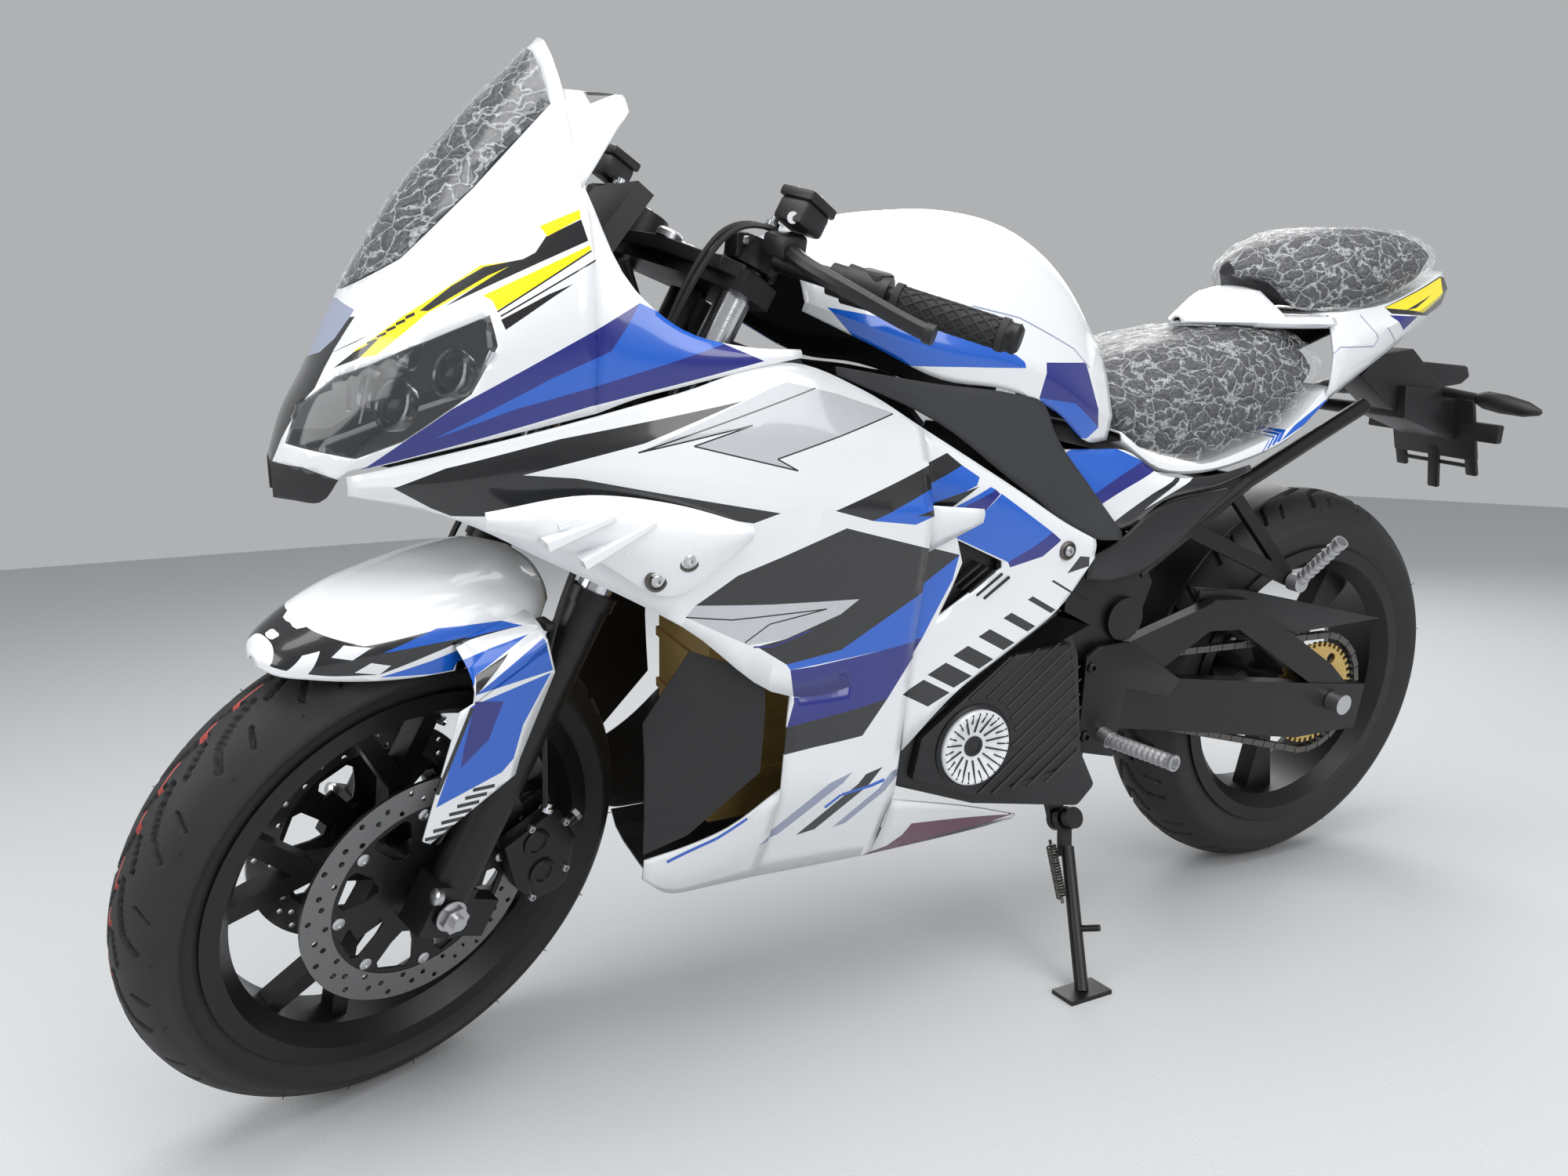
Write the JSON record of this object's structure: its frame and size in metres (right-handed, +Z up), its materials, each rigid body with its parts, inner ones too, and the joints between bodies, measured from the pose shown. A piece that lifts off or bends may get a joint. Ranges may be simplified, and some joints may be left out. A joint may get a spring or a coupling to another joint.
{
  "type": "electric motorcycle",
  "caption": "Full-fairing electric sport motorcycle on its side stand, with turning wheels, steering and a folding stand.",
  "frame": {"origin": "centre of the bounding box at the floor, under the leaning machine", "axes": "+Z up, front wheel towards -Y, left side towards +X; the machine leans about 8 degrees to +X on its stand with the steering at its left stop"},
  "size_m": [0.7072, 2.0317, 1.1548],
  "materials": {
    "tyre": "matt treaded rubber",
    "black_metal": "satin black powder coat",
    "disc_steel": "turned brake disc",
    "gold_zinc": "yellow passivated zinc",
    "gold_case": "satin gold",
    "chrome": "polished",
    "grip_rubber": "moulded ribbed rubber",
    "hose_rubber": "smooth hose",
    "black_plastic": "fine grained",
    "white_paint": "gloss lacquer with coloured bands",
    "bolt_steel": "zinc plated",
    "chain_steel": "oiled",
    "tinted_screen": "tinted acrylic",
    "smoked_lens": "smoked polycarbonate",
    "seat_leather": "black grained cover",
    "red_lens": "dark red lens",
    "cast_aluminium": "cast, grooved"
  },
  "bodies": {
    "chassis": {"battery_box": "gold_case", "belly_pan": "black_plastic", "chain": "chain_steel", "chain_guards": "black_plastic", "chin_intake": "black_plastic", "cockpit_trim": "black_plastic", "cover_discs": "white_paint", "footrests": "cast_aluminium", "frame": "black_metal", "frame_covers": "black_plastic", "headlight": "smoked_lens", "inner_ducts": "black_plastic", "motor": "black_metal", "motor_covers": "black_plastic", "pillion_footrests": "cast_aluminium", "pillion_seat": "seat_leather", "plate_holder": "black_plastic", "rear_axle": "bolt_steel", "rider_seat": "seat_leather", "seat_panels": "white_paint", "shock": "black_metal", "side_fairings": "white_paint", "side_panels": "black_plastic", "swingarm": "black_metal", "tail_fairing": "white_paint", "tail_lamp": "red_lens", "tank_cover": "white_paint", "upper_cowl": "white_paint", "windscreen": "tinted_screen", "winglets": "white_paint"},
    "steering": {"fork_lowers": "black_metal", "fork_tubes": "chrome", "triple_clamps": "black_metal", "handlebars": "black_metal", "grips": "grip_rubber", "controls": "black_plastic", "front_fender": "white_paint", "calipers": "black_metal", "brake_hoses": "hose_rubber", "front_axle": "bolt_steel"},
    "front_wheel": {"front_tyre": "tyre", "front_rim": "black_metal", "front_discs": "disc_steel"},
    "rear_wheel": {"rear_tyre": "tyre", "rear_rim": "black_metal", "rear_sprocket": "gold_zinc", "rear_disc": "disc_steel"},
    "side_stand": {"side_stand": "black_metal", "stand_spring": "bolt_steel"}
  },
  "joints": [
    {"name": "steering_turn", "type": "hinge", "parent": "chassis", "child": "steering", "pos_m": [-0.06677, -0.70468, 0.26782], "axis": [0.1231, 0.4627, 0.8779], "range_deg": [-44, 0]},
    {"name": "front_wheel_spin", "type": "hinge", "parent": "steering", "child": "front_wheel", "pos_m": [-0.05021, -0.73623, 0.28213], "axis": [0.8939, 0.3326, -0.3006], "continuous": true},
    {"name": "rear_wheel_spin", "type": "hinge", "parent": "chassis", "child": "rear_wheel", "pos_m": [-0.06135, 0.66119, 0.31165], "axis": [0.9903, 0.0005, -0.1392], "continuous": true},
    {"name": "stand_fold", "type": "hinge", "parent": "chassis", "child": "side_stand", "pos_m": [0.0495, 0.14465, 0.19307], "axis": [0.936, -0.0014, 0.3521], "range_deg": [0, 105]}
  ]
}
